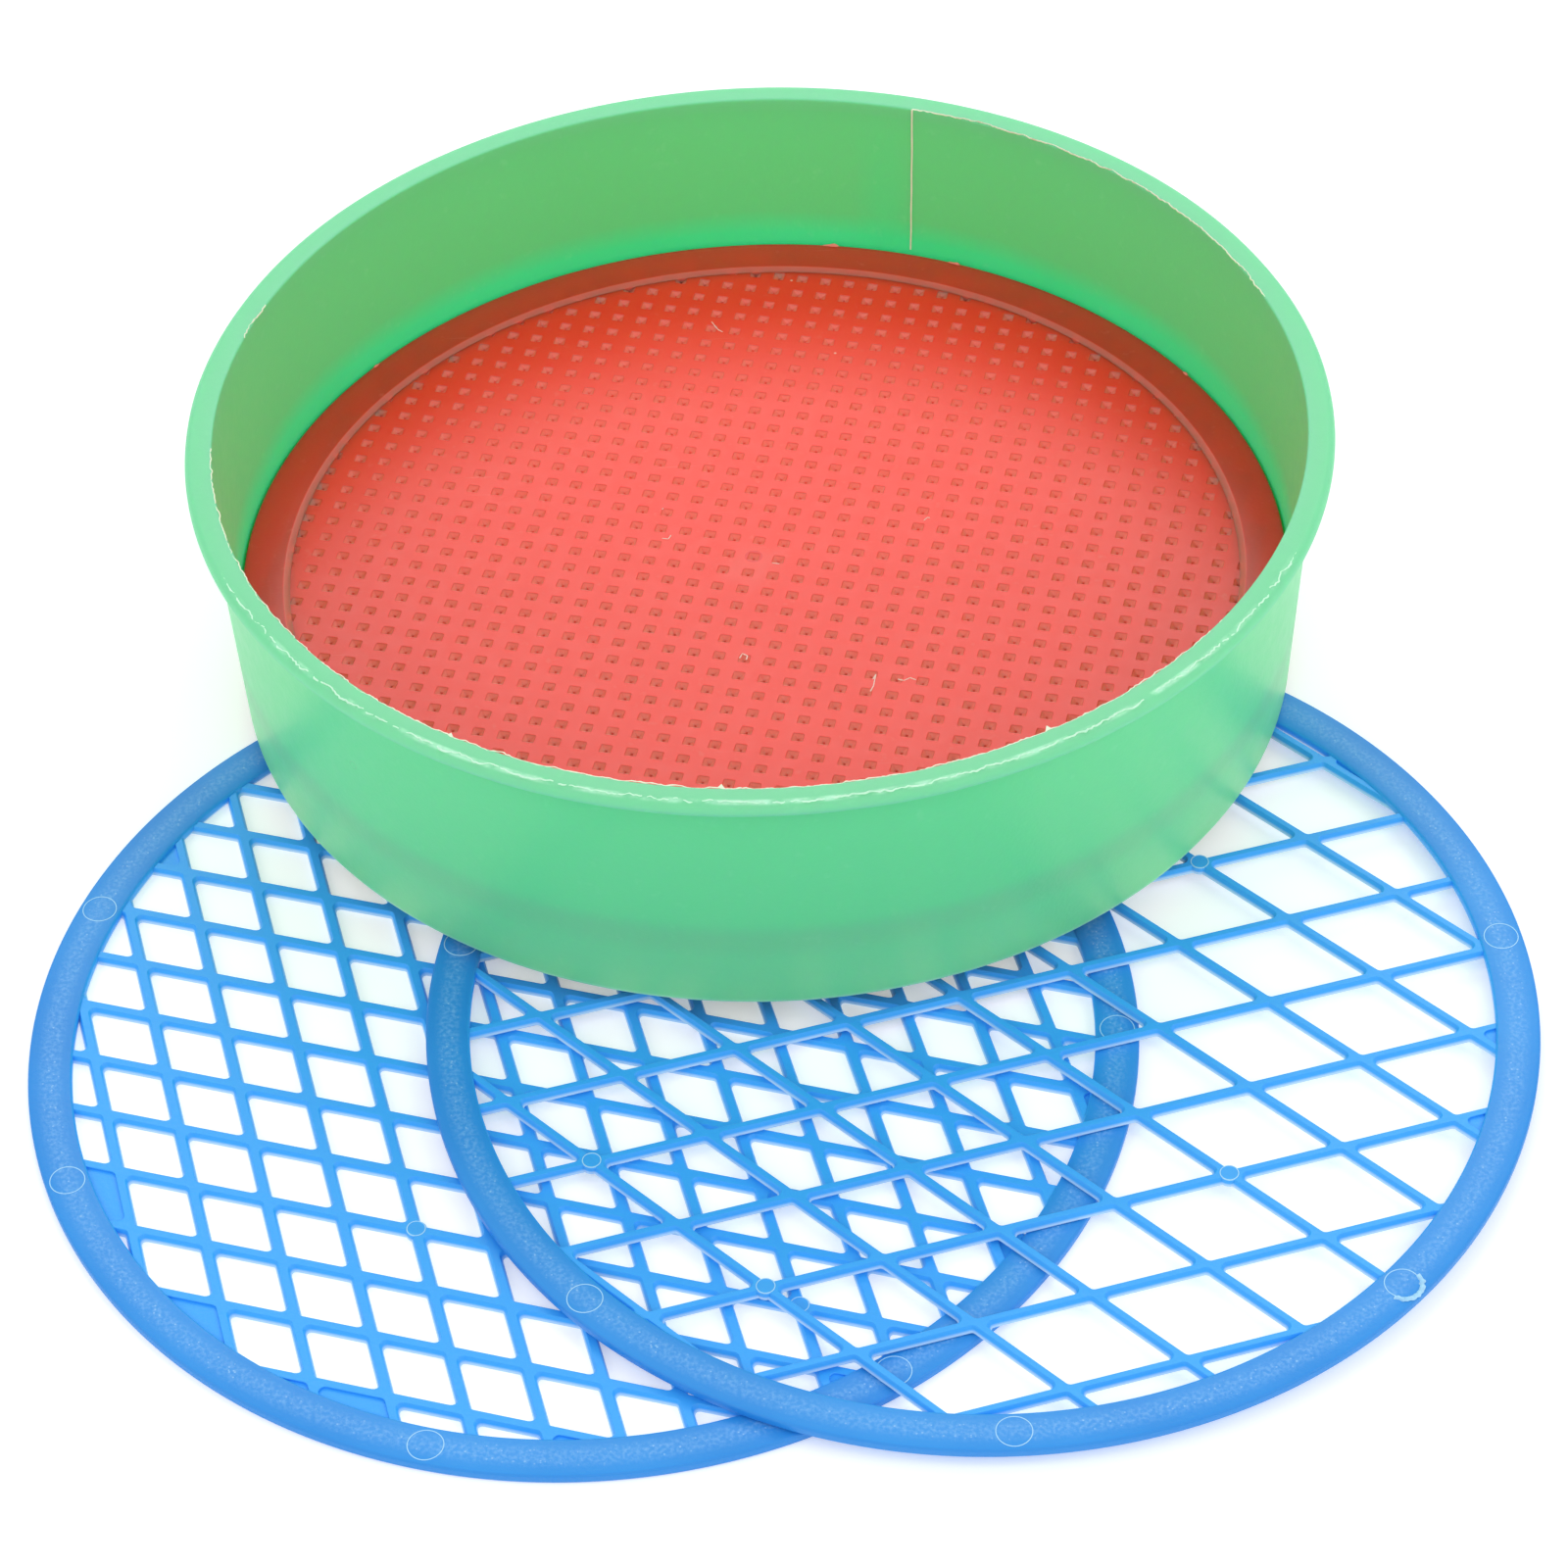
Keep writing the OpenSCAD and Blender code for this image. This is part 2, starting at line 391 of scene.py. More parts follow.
def net(bm, step, turns, shares, levels, steps, far, webs=(), web_top=None):
    """Net of cells out to the radius far, closed at its border"""
    span = math.ceil(far / step) + 2
    top, bottom = levels[0][1], levels[-1][1]
    cells = {}
    for i in range(-span, span):
        for j in range(-span, span):
            corners = cell_corners(i, j, step, turns, shares)
            if sum(corners, Vector((0, 0))).length / 4 < far:
                cells[i, j] = corners
    for (i, j), corners in cells.items():
        net_cell(bm, corners, levels, steps, web_top if (i, j) in webs else None)
        beside = ((i, j - 1), (i + 1, j), (i, j + 1), (i - 1, j))
        for k, other in enumerate(beside):
            if other not in cells:
                a, b = corners[k], corners[(k + 1) % 4]
                wall = ((*a, top), (*b, top), (*b, bottom), (*a, bottom))
                bm.faces.new([bm.verts.new(p) for p in wall])
    bmesh.ops.remove_doubles(bm, verts=bm.verts, dist=0.01 * MM)
    bmesh.ops.recalc_face_normals(bm, faces=bm.faces)


def trimmed(bm, radius, low, high):
    """The part of a net inside an upright cylinder"""
    round_bar = bmesh.new()
    bmesh.ops.create_cone(
        round_bar, cap_ends=True, segments=240, radius1=radius, radius2=radius, depth=high - low)
    bmesh.ops.translate(round_bar, verts=round_bar.verts, vec=(0, 0, (high + low) / 2))
    work = in_scene("net_work", mesh_of("net_work", bm))
    cutter = in_scene("net_cutter", mesh_of("net_cutter", round_bar))
    trim = work.modifiers.new("trim", "BOOLEAN")
    trim.object, trim.operation, trim.solver = cutter, "INTERSECT", "EXACT"
    bpy.context.view_layer.update()
    graph = bpy.context.evaluated_depsgraph_get()
    cut = bmesh.new()
    cut.from_mesh(bpy.data.meshes.new_from_object(work.evaluated_get(graph)))
    for used in (work, cutter):
        bpy.data.objects.remove(used)
    return cut


def ring_top(r, outer):
    """Height of a spare disc's ring, which is slightly domed"""
    return RING_T - RING_DOME * (2 * (outer - r) / RING_W - 1) ** 2


def ring_outline(outer):
    """Section of a spare disc's ring"""
    inner = outer - RING_W
    soft = RING_ROUND
    places = [outer - RING_W * k / RING_STEPS for k in range(RING_STEPS + 1)]
    top = [(r, ring_top(r, outer), soft if r in (places[0], places[-1]) else 0) for r in places]
    return soft_outline([(inner, 0, soft), (outer, 0, soft)] + top)


def disc_seat(node, lean=0.0):
    """Place of a mesh disc"""
    return seat(node, ring_outline(reach(node)), lean)


def round_pad(bm, place, width, low, high, soft):
    """Small upright disc with a softened top edge"""
    steps = 24
    angles = [2 * math.pi * k / steps for k in range(steps)]
    rings = []
    for r, z in ((width / 2, low), (width / 2, high - soft), (width / 2 - soft, high)):
        spots = [(place.x + r * math.cos(a), place.y + r * math.sin(a), z) for a in angles]
        rings.append([bm.verts.new(spot) for spot in spots])
    for lower, upper in zip(rings, rings[1:]):
        bridge(bm, lower, upper)
    bm.faces.new(rings[-1])
    bm.faces.new(reversed(rings[0]))


def mark(bm, place, width, top):
    """Thin raised circle left by an ejector pin; top gives the height at a distance from the axis"""
    steps, thick = 40, 0.2 * MM
    sides = ((-thick, -thick), (-thick / 2, thick / 3), (thick / 2, thick / 3), (thick, -thick))
    loops = []
    for k in range(steps):
        angle = 2 * math.pi * k / steps
        out = along(math.degrees(angle))
        z = top((place + out * (width / 2)).length)
        loops.append([bm.verts.new((*(place + out * (width / 2 + d)), z + h)) for d, h in sides])
    for k in range(steps):
        bridge(bm, loops[k], loops[(k + 1) % steps], closed=False)


def bead(bm, rows, width):
    """Low ridge along a path of (place, direction across, direction up, height)"""
    sunk = -0.1 * MM
    strips = []
    for place, across, up, height in rows:
        section = ((-0.5, sunk), (-0.25, height * 0.8), (0.25, height), (0.5, sunk))
        strips.append([bm.verts.new(place + across * (width * s) + up * h) for s, h in section])
    for a, b in zip(strips, strips[1:]):
        bridge(bm, a, b, closed=False)
    bm.faces.new(strips[0])
    bm.faces.new(reversed(strips[-1]))


def torn_mark(bm, centre, turn):
    """Ragged flash on the outer half of an ejector mark"""
    steps, half = 40, 75
    rows = []
    for k in range(steps + 1):
        out = along(turn - half + 2 * half * k / steps).to_3d()
        height = 0.2 * MM + 0.9 * MM * abs(noise.noise(out * 9))
        away = MARK_D / 2 + 0.5 * MM * (1 + noise.noise(out * 6))
        rows.append((centre.to_3d() + out * away + UP * RING_T, out, UP, height))
    bead(bm, rows, 1.3 * MM)


def spare_marks(bm, outer, facts, pads):
    """Circles of the ejector pins on a spare disc's ring and pads, with the torn one's flash"""
    middle = outer - RING_W / 2
    for turn in facts["marks"]:
        mark(bm, along(turn) * middle, MARK_D, lambda r: ring_top(r, outer))
    for place in pads:
        mark(bm, place, PAD_D - 0.7 * MM, lambda r: BAR_T + PAD_LIFT)
    for turn in facts["torn"]:
        torn_mark(bm, along(turn) * middle, turn)


def spare_disc(name, node, body, facts, material, pale):
    """Spare mesh with its ring, bars, webs and pads, and its marks as a piece of their own"""
    outer = reach(node)
    grid = (facts["step"], facts["turns"], facts["shares"])
    half = facts["bar_w"] / 2
    levels = [
        (half - BAR_SLOPE, BAR_T, 1.6 * MM),
        (half - BAR_SLOPE + 0.12 * MM, BAR_T - BAR_EDGE, 1.5 * MM),
        (half + 0.1 * MM, 0.25 * MM, 1.1 * MM),
        (half, 0, 1.1 * MM),
    ]
    bm = bmesh.new()
    net(bm, *grid, levels, 5, outer - RING_W + facts["step"], facts["webs"], WEB_T)
    bm = trimmed(bm, outer - RING_W + BAR_ROOT, -MM, RING_T)
    lathe(bm, ring_outline(outer), SPARE_SEGMENTS)
    pads = [crossing(i, j, *grid) for i, j in facts["pads"]]
    for place in pads:
        round_pad(bm, place, PAD_D, 0, BAR_T + PAD_LIFT, 0.3 * MM)
    seated = disc_seat(node)
    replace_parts(finished(name, bm, seated, body, [material]), node)
    bm = bmesh.new()
    spare_marks(bm, outer, facts, pads)
    detail(name + "_marks", bm, seated, body, pale, "blue_plastic")


def fine_disc(material, lit):
    """Ring, lip and plate of the fine mesh; the walls of its holes have the material lit, which carries
    painted light
    """
    outer = reach("fine_mesh")
    inner = outer - RING_W
    plate_r = inner - LIP_W
    top = PLATE_TOP
    bottom = top - PLATE_T
    half = (FINE_STEP - HOLE_W) / 2
    edge = 0.12 * MM
    levels = [
        (half, top, 0.45 * MM),
        (half + edge / 3, top - edge / 3, 0.4 * MM),
        (half + edge, top - edge, 0.35 * MM),
        (half + HOLE_DRAFT, top - HOLE_SLOPED, 0.3 * MM),
        (half + HOLE_DRAFT, bottom, 0.3 * MM),
    ]
    bm = bmesh.new()
    net(bm, FINE_STEP, FINE_TURNS, FINE_SHARES, levels, 2, plate_r + 0.7 * FINE_STEP)
    for face in bm.faces:
        heights = [v.co.z for v in face.verts]
        if max(heights) < top - edge / 4 and min(heights) < max(heights) - edge / 4:
            face.material_index = 1
    soft = RING_ROUND
    lip = [
        (plate_r, bottom, 0),
        (outer, bottom, soft),
        (outer, RING_T, soft),
        (inner, RING_T, 0.4 * MM),
        (plate_r, top + 0.2 * MM, 0.15 * MM),
    ]
    outline = soft_outline(lip)
    lathe(bm, outline, LEANED_SEGMENTS)
    place = seat("fine_mesh", outline, LEAN)
    piece = finished("fine_mesh_disc", bm, place, "fine_disc", [material, lit])
    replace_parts(piece, "fine_mesh")


def hoop_outline():
    """Section of the hoop from its axis, with the foot at height zero"""
    rim_r, height = reach("hoop"), HOOP_H
    top_in = rim_r - RIM_OVERHANG - WALL_T

    def wall_in(z):
        return top_in - (height - z) * WALL_LEAN

    under = LEDGE_H - LEDGE_T
    ledge_r = wall_in(LEDGE_H) - LEDGE_W
    return soft_outline([
        (wall_in(0), 0, 0.6 * MM),
        (wall_in(0) + WALL_T, 0, 0.6 * MM),
        (wall_in(height - RIM_T) + WALL_T, height - RIM_T, 0.9 * MM),
        (rim_r, height - RIM_T, 1.1 * MM),
        (rim_r, height, 2 * MM),
        (top_in, height, 0.6 * MM),
        (wall_in(LEDGE_H), LEDGE_H, 0.4 * MM),
        (ledge_r, LEDGE_H, 0.4 * MM),
        (ledge_r, under, 0.4 * MM),
        (wall_in(under) - LEDGE_RIB, under, 0.5 * MM),
        (wall_in(under - LEDGE_RIB), under - LEDGE_RIB, 0.5 * MM),
    ])


def hoop_seat():
    """Place of the leaning hoop"""
    return seat("hoop", hoop_outline(), LEAN)


def hoop_wobble(r, z, angle):
    """Slight waves that a cooling moulding keeps"""
    spot = Vector((math.cos(angle) * 2.2, math.sin(angle) * 2.2, z * 20))
    return r - abs(noise.noise(spot)) * 0.15 * MM, z


def hoop_piece(material):
    """The hoop as one turned moulding"""
    bm = bmesh.new()
    lathe(bm, hoop_outline(), LEANED_SEGMENTS, hoop_wobble)
    piece = finished("hoop_moulding", bm, hoop_seat(), "hoop_body", [material])
    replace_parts(piece, "hoop")


def seam_rows(top_in):
    """Path of the seam down the inner wall, which wanders a little"""
    end = HOOP_H - 0.2 * MM
    rows = []
    for k in range(SEAM_STEPS + 1):
        z = SEAM_FOOT + (end - SEAM_FOOT) * k / SEAM_STEPS
        turn = SEAM_TURN + 0.08 * noise.noise(Vector((0, 3, z * 90)))
        out = along(turn).to_3d()
        place = out * (top_in - (HOOP_H - z) * WALL_LEAN) + UP * z
        height = 0.13 * MM + 0.1 * MM * noise.noise(place * 300)
        rows.append((place, along(turn + 90).to_3d(), -out, height))
    return rows


def rim_rows(top_in, start, end, size):
    """Path of ragged flash along the inner edge of the rim, higher at the bursts"""
    steps = round(abs(end - start) * 8)
    rows = []
    for k in range(steps + 1):
        turn = start + (end - start) * k / steps
        out = along(turn).to_3d()
        spot = out * top_in
        burst = max(0, 1 - min(abs(turn - b) for b in RIM_BURSTS) / 0.35)
        height = size * (0.25 + 0.8 * abs(noise.noise(spot * 600))) + 0.9 * MM * burst
        height *= min(1, 8 * k / steps, 8 * (steps - k) / steps)
        jog = 0.7 * MM * noise.noise(spot * 240) + 0.3 * MM * noise.noise(spot * 800)
        place = out * (top_in + 0.15 * MM + jog) + UP * (HOOP_H - 0.12 * MM)
        rows.append((place, (out + UP).normalized(), (UP - out).normalized(), height))
    return rows


def hoop_flash(material):
    """Cream seam down the inner wall, and ragged flash along parts of the inner edge of the rim"""
    top_in = reach("hoop") - RIM_OVERHANG - WALL_T
    bm = bmesh.new()
    bead(bm, seam_rows(top_in), 0.65 * MM)
    for start, end, size in RIM_FLASH:
        bead(bm, rim_rows(top_in, start, end, size), 0.4 * MM)
    detail("hoop_flash", bm, hoop_seat(), "hoop_body", material, "green_plastic")


def rim_line(material):
    """Broken, ragged line where the flat of the rim turns down at its front"""
    rim_r = reach("hoop")
    last = RIM_LINE_COUNT - 1
    rows = []
    for k in range(RIM_LINE_COUNT):
        out = along(RIM_LINE_START + RIM_LINE_STEP * k).to_3d()
        spot = out * rim_r
        jog = 0.9 * MM * noise.noise(spot * 230) + 0.45 * MM * noise.noise(spot * 800)
        height = 0.14 * MM + 0.3 * MM * noise.noise(spot * 90) + 0.35 * MM * noise.noise(spot * 500)
        height *= min(1, 6 * k / RIM_LINE_COUNT, 6 * (last - k) / RIM_LINE_COUNT)
        place = out * (rim_r - 2.1 * MM + jog) + UP * (HOOP_H - 0.02 * MM)
        rows.append((place, out, UP, max(-0.15 * MM, height)))
    bm = bmesh.new()
    bead(bm, rows, 0.6 * MM)
    detail("rim_line", bm, hoop_seat(), "hoop_body", material, "green_plastic")


def ring_flash(material):
    """Bits of flash on the outer edge of the red ring"""
    outer = reach("fine_mesh")
    bm = bmesh.new()
    for turn, half in RING_FLASH:
        rows = []
        for k in range(-8, 9):
            out = along(turn + half * k / 8).to_3d()
            place = out * (outer - 0.5 * MM) + UP * (RING_T - 0.1 * MM)
            height = 0.9 * MM * (1 - (k / 8) ** 2) * (0.7 + noise.noise(place * 500))
            rows.append((place, out, UP, height))
        bead(bm, rows, 0.8 * MM)
    detail("ring_flash", bm, disc_seat("fine_mesh", LEAN), "fine_disc", material, "red_plastic")


def lint(material):
    """Hairs and crumbs of plastic that lie on the fine mesh"""
    bm = bmesh.new()
    for path in LINT:
        spots = [Vector((x, y, 0)) * MM for x, y in path]
        rows = []
        for a, b in zip(spots, spots[1:]):
            across = (b - a).cross(UP).normalized()
            rows += [(a.lerp(b, k / 4) + UP * PLATE_TOP, across, UP, 0.12 * MM) for k in range(4)]
        bead(bm, rows, 0.3 * MM)
    detail("plate_lint", bm, disc_seat("fine_mesh", LEAN), "fine_disc", material, "red_plastic")


def fresh_tree(owner):
    """Empty node tree of a material or a world"""
    owner.use_nodes = True
    owner.node_tree.nodes.clear()
    return owner.node_tree


def add(tree, kind, inputs=(), **settings):
    """Node with its settings and inputs: a socket is linked, and a value is set"""
    made = tree.nodes.new(kind)
    for key, value in settings.items():
        setattr(made, key, value)
    for key, value in dict(inputs).items():
        if isinstance(value, bpy.types.NodeSocket):
            tree.links.new(value, made.inputs[key])
        else:
            made.inputs[key].default_value = value
    return made


class Plastic:
    """Material of one moulding, with coordinates from the moulding's own foot and axis"""

    def __init__(self, name, place, lean):
        self.material = bpy.data.materials.new(name)
        self.tree = fresh_tree(self.material)
        self.colour = None
        world = self.add("ShaderNodeTexCoord").outputs["Object"]
        turn = {"Vector": world, "Location": tuple(place.to_translation()), "Rotation": (-lean, 0, 0)}
        self.where = self.add("ShaderNodeMapping", turn, vector_type="TEXTURE").outputs[0]
        x, self.y, self.z = self.add("ShaderNodeSeparateXYZ", {"Vector": self.where}).outputs
        flat = self.add("ShaderNodeCombineXYZ", {"X": x, "Y": self.y}).outputs[0]
        self.r = self.add("ShaderNodeVectorMath", {0: flat}, operation="LENGTH").outputs["Value"]
        self.angle = self.maths("ARCTAN2", self.y, x)

    def add(self, kind, inputs=(), **settings):
        return add(self.tree, kind, inputs, **settings)

    def maths(self, operation, *values):
        return self.add("ShaderNodeMath", dict(enumerate(values)), operation=operation).outputs[0]

    def product(self, first, *others):
        """All the values multiplied together"""
        for value in others:
            first = self.maths("MULTIPLY", first, value)
        return first

    def carried(self, value, low, high, to_low=0.0, to_high=1.0):
        """Value carried from one range to another and held inside it"""
        ends = {"From Min": low, "From Max": high, "To Min": to_low, "To Max": to_high}
        return self.add("ShaderNodeMapRange", {"Value": value, **ends}).outputs[0]

    def zone(self, value, low, high, soft):
        """One between low and high, falling to zero over the width soft on both sides"""
        rising = self.carried(value, low - soft, low)
        return self.product(rising, self.carried(value, high, high + soft, 1.0, 0.0))

    def from_point(self, spot):
        there = {0: self.where, 1: spot}
        return self.add("ShaderNodeVectorMath", there, operation="DISTANCE").outputs["Value"]

    def cloud(self, scale, detail=3, stretch=None):
        """Soft noise; stretch scales its axes"""
        where = self.where
        if stretch:
            where = self.add("ShaderNodeMapping", {"Vector": where, "Scale": stretch}).outputs[0]
        facts = {"Vector": where, "Scale": scale, "Detail": detail}
        return self.add("ShaderNodeTexNoise", facts).outputs["Fac"]

    def dots(self, scale, size, rarity):
        """Small round spots in a few of the cells of a random pattern"""
        cells = self.add("ShaderNodeTexVoronoi", {"Vector": self.where, "Scale": scale})
        draw = self.add("ShaderNodeSeparateColor", {0: cells.outputs["Color"]}).outputs[0]
        chosen = self.maths("GREATER_THAN", draw, rarity)
        return self.product(chosen, self.carried(cells.outputs["Distance"], size, size * 0.6))

    def blend(self, share, a, b):
        """Colour a with a share of colour b on it"""
        full = [(*c, 1) if isinstance(c, tuple) else c for c in (a, b)]
        mix = self.add("ShaderNodeMix", {0: share, "A": full[0], "B": full[1]}, data_type="RGBA")
        return mix.outputs["Result"]

    def paint(self, colour, *shares):
        """Lays a colour on the material, with the product of the shares"""
        self.colour = self.blend(self.product(*shares), self.colour, colour)

    def close(self, rough, height, inner, depth=0.2 * MM):
        """Ends the material with its colour, roughness, relief and the light inside it"""
        bump = self.add("ShaderNodeBump", {"Height": height, "Strength": 0.5, "Distance": depth})
        shader = self.add("ShaderNodeBsdfPrincipled", {
            "Base Color": self.colour,
            "Roughness": rough,
            "Normal": bump.outputs["Normal"],
            "IOR": PLASTIC_IOR,
            "Subsurface Weight": inner[0],
            "Subsurface Radius": inner[1],
            "Subsurface Scale": 1.0,
        })
        out = self.add("ShaderNodeOutputMaterial")
        self.tree.links.new(shader.outputs[0], out.inputs["Surface"])
        return self.material


def green_plastic():
    """Hoop: painted shade on the rim's top, the outer wall, a band at the seat and by the seam; painted
    light low on the outer wall and along its foot; a painted highlight on the front of the rim; dust,
    specks and an ejector mark
    """
    own = Plastic("green_plastic", hoop_seat(), LEAN)
    rim_r = reach("hoop")
    skin = own.cloud(240, 4)
    own.colour = own.blend(own.carried(own.cloud(14), 0.35, 0.7), GREEN, GREEN_DEEP)
    outside = own.carried(own.r, rim_r - 9.6 * MM, rim_r - 9.2 * MM)
    # painted shade: the outer wall gets a duller green than the inside
    own.paint(GREEN_OUTSIDE_SHADE, outside, 0.85)
    # painted light: the lower outer wall is made paler, as if lit from the floor
    own.paint(GREEN_FOOT_LIGHT, outside, own.carried(own.z, 26 * MM, 6 * MM, 0, 0.75))
    # painted shade: a greyer band round the outer wall where the disc sits inside
    own.paint(GREEN_SHADE_AND_MARK, outside, own.zone(own.z, 21 * MM, 24 * MM, 5 * MM), 0.35)
    rim = own.product(
        own.carried(own.z, HOOP_H - RIM_T - 0.4 * MM, HOOP_H - RIM_T),
        own.carried(own.r, rim_r - 7.4 * MM, rim_r - 6.8 * MM))
    # painted shade: the rim's flat top gets a duller green, to offset the light it catches
    own.paint(GREEN_RIM_SHADE, rim)
    # painted highlight: a broken pale band near the outer edge of the rim's top, on its front only
    front = own.carried(own.y, -60 * MM, -100 * MM)
    patches = own.carried(own.cloud(150, 5), 0.42, 0.62, 0, 0.75)
    rim_highlight = own.zone(own.r, rim_r - 2.6 * MM, rim_r - 1.6 * MM, 0.6 * MM)
    own.paint(GREEN_HIGHLIGHT, rim, rim_highlight, patches, front)
    # painted highlight: a paler line along the foot of the outer wall
    own.paint(GREEN_PALE, outside, own.carried(own.z, 1.3 * MM, 0.6 * MM, 0, 0.5))
    # painted shade: a faint darker band down the inner wall by the seam
    by_seam = own.zone(own.angle, 1.28, 1.31, 0.05)
    own.paint(GREEN_DEEP, by_seam, own.carried(own.z, 74 * MM, 40 * MM, 0, 0.35))
    own.paint(GREEN_PALE, own.carried(skin, 0.62, 0.85, 0, 0.15))
    ring = own.zone(own.from_point(GREEN_MARK), 1.1 * MM, 1.2 * MM, 0.15 * MM)
    own.paint(GREEN_SHADE_AND_MARK, ring, 0.8)
    own.paint(GREEN_SPECK, own.dots(60, 0.035, 0.93), 0.7)
    rough = own.maths("ADD", own.carried(skin, 0, 1, 0.30, 0.48), own.product(rim, 0.12))
    waves = own.maths("ADD", own.cloud(900), own.product(own.cloud(45, 2), 1.4))
    height = own.maths("SUBTRACT", waves, own.product(ring, 0.4))
    return own.close(rough, height, GREEN_INNER, 0.12 * MM)


def red_plastic():
    """Fine mesh: painted shade on the outer ring, a painted highlight on the lip, flow smudge at the gate,
    scratches and dust
    """
    outer = reach("fine_mesh")
    inner = outer - RING_W
    own = Plastic("red_plastic", disc_seat("fine_mesh", LEAN), LEAN)
    skin = own.cloud(300, 4)
    own.colour = own.blend(own.carried(own.cloud(22), 0.35, 0.7), RED, RED_DEEP)
    # painted shade: the outer ring is darkened where the hoop's wall shades it
    own.paint(RED_SHADE, own.carried(own.r, inner + 0.1 * MM, inner + 0.5 * MM, 0, 0.75))
    # painted highlight along the lip round the plate
    own.paint(RED_PALE, own.zone(own.r, inner - LIP_W, inner, 0.15 * MM), 0.6)
    near = own.maths("ADD", own.from_point(GATE), own.product(own.cloud(120), 14 * MM))
    own.paint(RED_SMUDGE, own.carried(near, 18 * MM, 11 * MM, 0, 0.4))
    own.paint(RED_OUTLINE, own.zone(own.from_point(GATE_HOLE), 1.5 * MM, 2.3 * MM, 0.2 * MM), 0.8)
    scratches = own.cloud(30, 2, (1, 26, 1))
    own.paint(RED_PALE, own.carried(scratches, 0.72, 0.78, 0, 0.35))
    own.paint(RED_PALE, own.carried(skin, 0.64, 0.8, 0, 0.35))
    own.paint(RED_SPECK, own.dots(90, 0.045, 0.93), 0.8)
    rough = own.carried(skin, 0, 1, 0.28, 0.44)
    height = own.maths("ADD", own.cloud(1100), own.cloud(60, 2))
    return own.close(rough, height, RED_INNER, 0.1 * MM)


def hole_plastic():
    """Walls of the fine holes: painted light makes them paler than the plate, with painted shade at the top
    and painted light lowest down
    """
    own = Plastic("red_hole_walls_painted_light", disc_seat("fine_mesh", LEAN), LEAN)
    own.colour = own.blend(own.cloud(200), RED_LIT, RED_LIT_DEEP)
    # painted shade at the top of each hole's wall
    own.paint(RED_SHADE, own.carried(own.z, PLATE_TOP - 0.3 * MM, PLATE_TOP - 0.12 * MM, 0, 0.65))
    # painted light low down on each hole's wall
    own.paint(RED_WHITE, own.carried(own.z, PLATE_TOP - 1.6 * MM, PLATE_TOP - 1.8 * MM, 0, 0.25))
    return own.close(0.4, own.cloud(900), HOLE_INNER)


def blue_plastic(node):
    """Spare mesh: frosted ring with fine white specks and painted shade on its outer edge, brighter bars
    with painted light low down
    """
    outer = reach(node)
    own = Plastic(node + "_blue", disc_seat(node), 0)
    skin = own.cloud(1000, 4)
    on_ring = own.carried(own.r, outer - RING_W, outer - RING_W + 0.6 * MM)
    ring_blue = own.blend(own.carried(own.cloud(18), 0.35, 0.7), BLUE, BLUE_DEEP)
    own.colour = own.blend(on_ring, BLUE_BAR, ring_blue)
    matte = own.zone(own.r, outer - 0.62 * RING_W, outer - 0.42 * RING_W, 2.5 * MM)
    own.paint(BLUE_PALE, matte, own.carried(skin, 0.42, 0.75, 0.05, 0.5))
    # painted light: the lower parts of the bars are made paler, as if lit through from below
    low = own.carried(own.z, 1.2 * MM, 0.5 * MM, 0, 0.85)
    own.paint(BLUE_BACKLIT, low, own.maths("SUBTRACT", 1, on_ring))
    # painted shade along the ring's rounded outer edge
    own.paint(BLUE_DEEP, own.carried(own.r, outer - 0.7 * MM, outer - 0.3 * MM, 0, 0.6))
    own.paint(BLUE_SPECK, own.dots(800, 0.25, 0.7), matte, 0.4)
    rough = own.carried(skin, 0, 1, 0.36, 0.55)
    height = own.maths("ADD", own.cloud(900), own.product(own.cloud(200, 3), 1.2))
    return own.close(rough, height, BLUE_INNER, 0.15 * MM)


def flash_plastic(name, colours):
    """Thin moulding flash, paler than the piece that it hangs on"""
    own = Plastic(name, Matrix(), 0)
    own.colour = own.blend(own.cloud(400), *colours)
    return own.close(0.5, own.cloud(900), FLASH_INNER)


def floor():
    """White floor just under the object"""
    bm = bmesh.new()
    bmesh.ops.create_grid(bm, x_segments=1, y_segments=1, size=FLOOR_SIZE)
    mesh = mesh_of("floor", bm)
    mesh.transform(Matrix.Translation((0, 0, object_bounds()[0].z - 0.02 * MM)))
    material = bpy.data.materials.new("white_floor")
    tree = fresh_tree(material)
    lit = add(tree, "ShaderNodeBsdfDiffuse", {"Color": (FLOOR_GREY, FLOOR_GREY, FLOOR_GREY, 1)})
    glow = add(tree, "ShaderNodeEmission", {"Color": (1, 1, 1, 1), "Strength": FLOOR_GLOW})
    both = add(tree, "ShaderNodeAddShader", {0: lit.outputs[0], 1: glow.outputs[0]})
    out = add(tree, "ShaderNodeOutputMaterial")
    tree.links.new(both.outputs[0], out.inputs["Surface"])
    mesh.materials.append(material)
    in_scene("floor", mesh)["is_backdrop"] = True


def sky():
    """Even pale light all round, which the camera sees as white"""
    world = bpy.data.worlds.new("soft_studio")
    bpy.context.scene.world = world
    tree = fresh_tree(world)
    rays = add(tree, "ShaderNodeLightPath").outputs
    either = {0: rays["Is Camera Ray"], 1: rays["Is Transmission Ray"]}
    seen = add(tree, "ShaderNodeMath", either, operation="MAXIMUM")
    soft = add(tree, "ShaderNodeBackground", {"Color": (1, 1, 1, 1), "Strength": SKY_LIGHT})
    white = add(tree, "ShaderNodeBackground", {"Color": (1, 1, 1, 1), "Strength": 1.0})
    mix = add(tree, "ShaderNodeMixShader", {0: seen.outputs[0], 1: soft.outputs[0], 2: white.outputs[0]})
    out = add(tree, "ShaderNodeOutputWorld")
    tree.links.new(mix.outputs[0], out.inputs["Surface"])


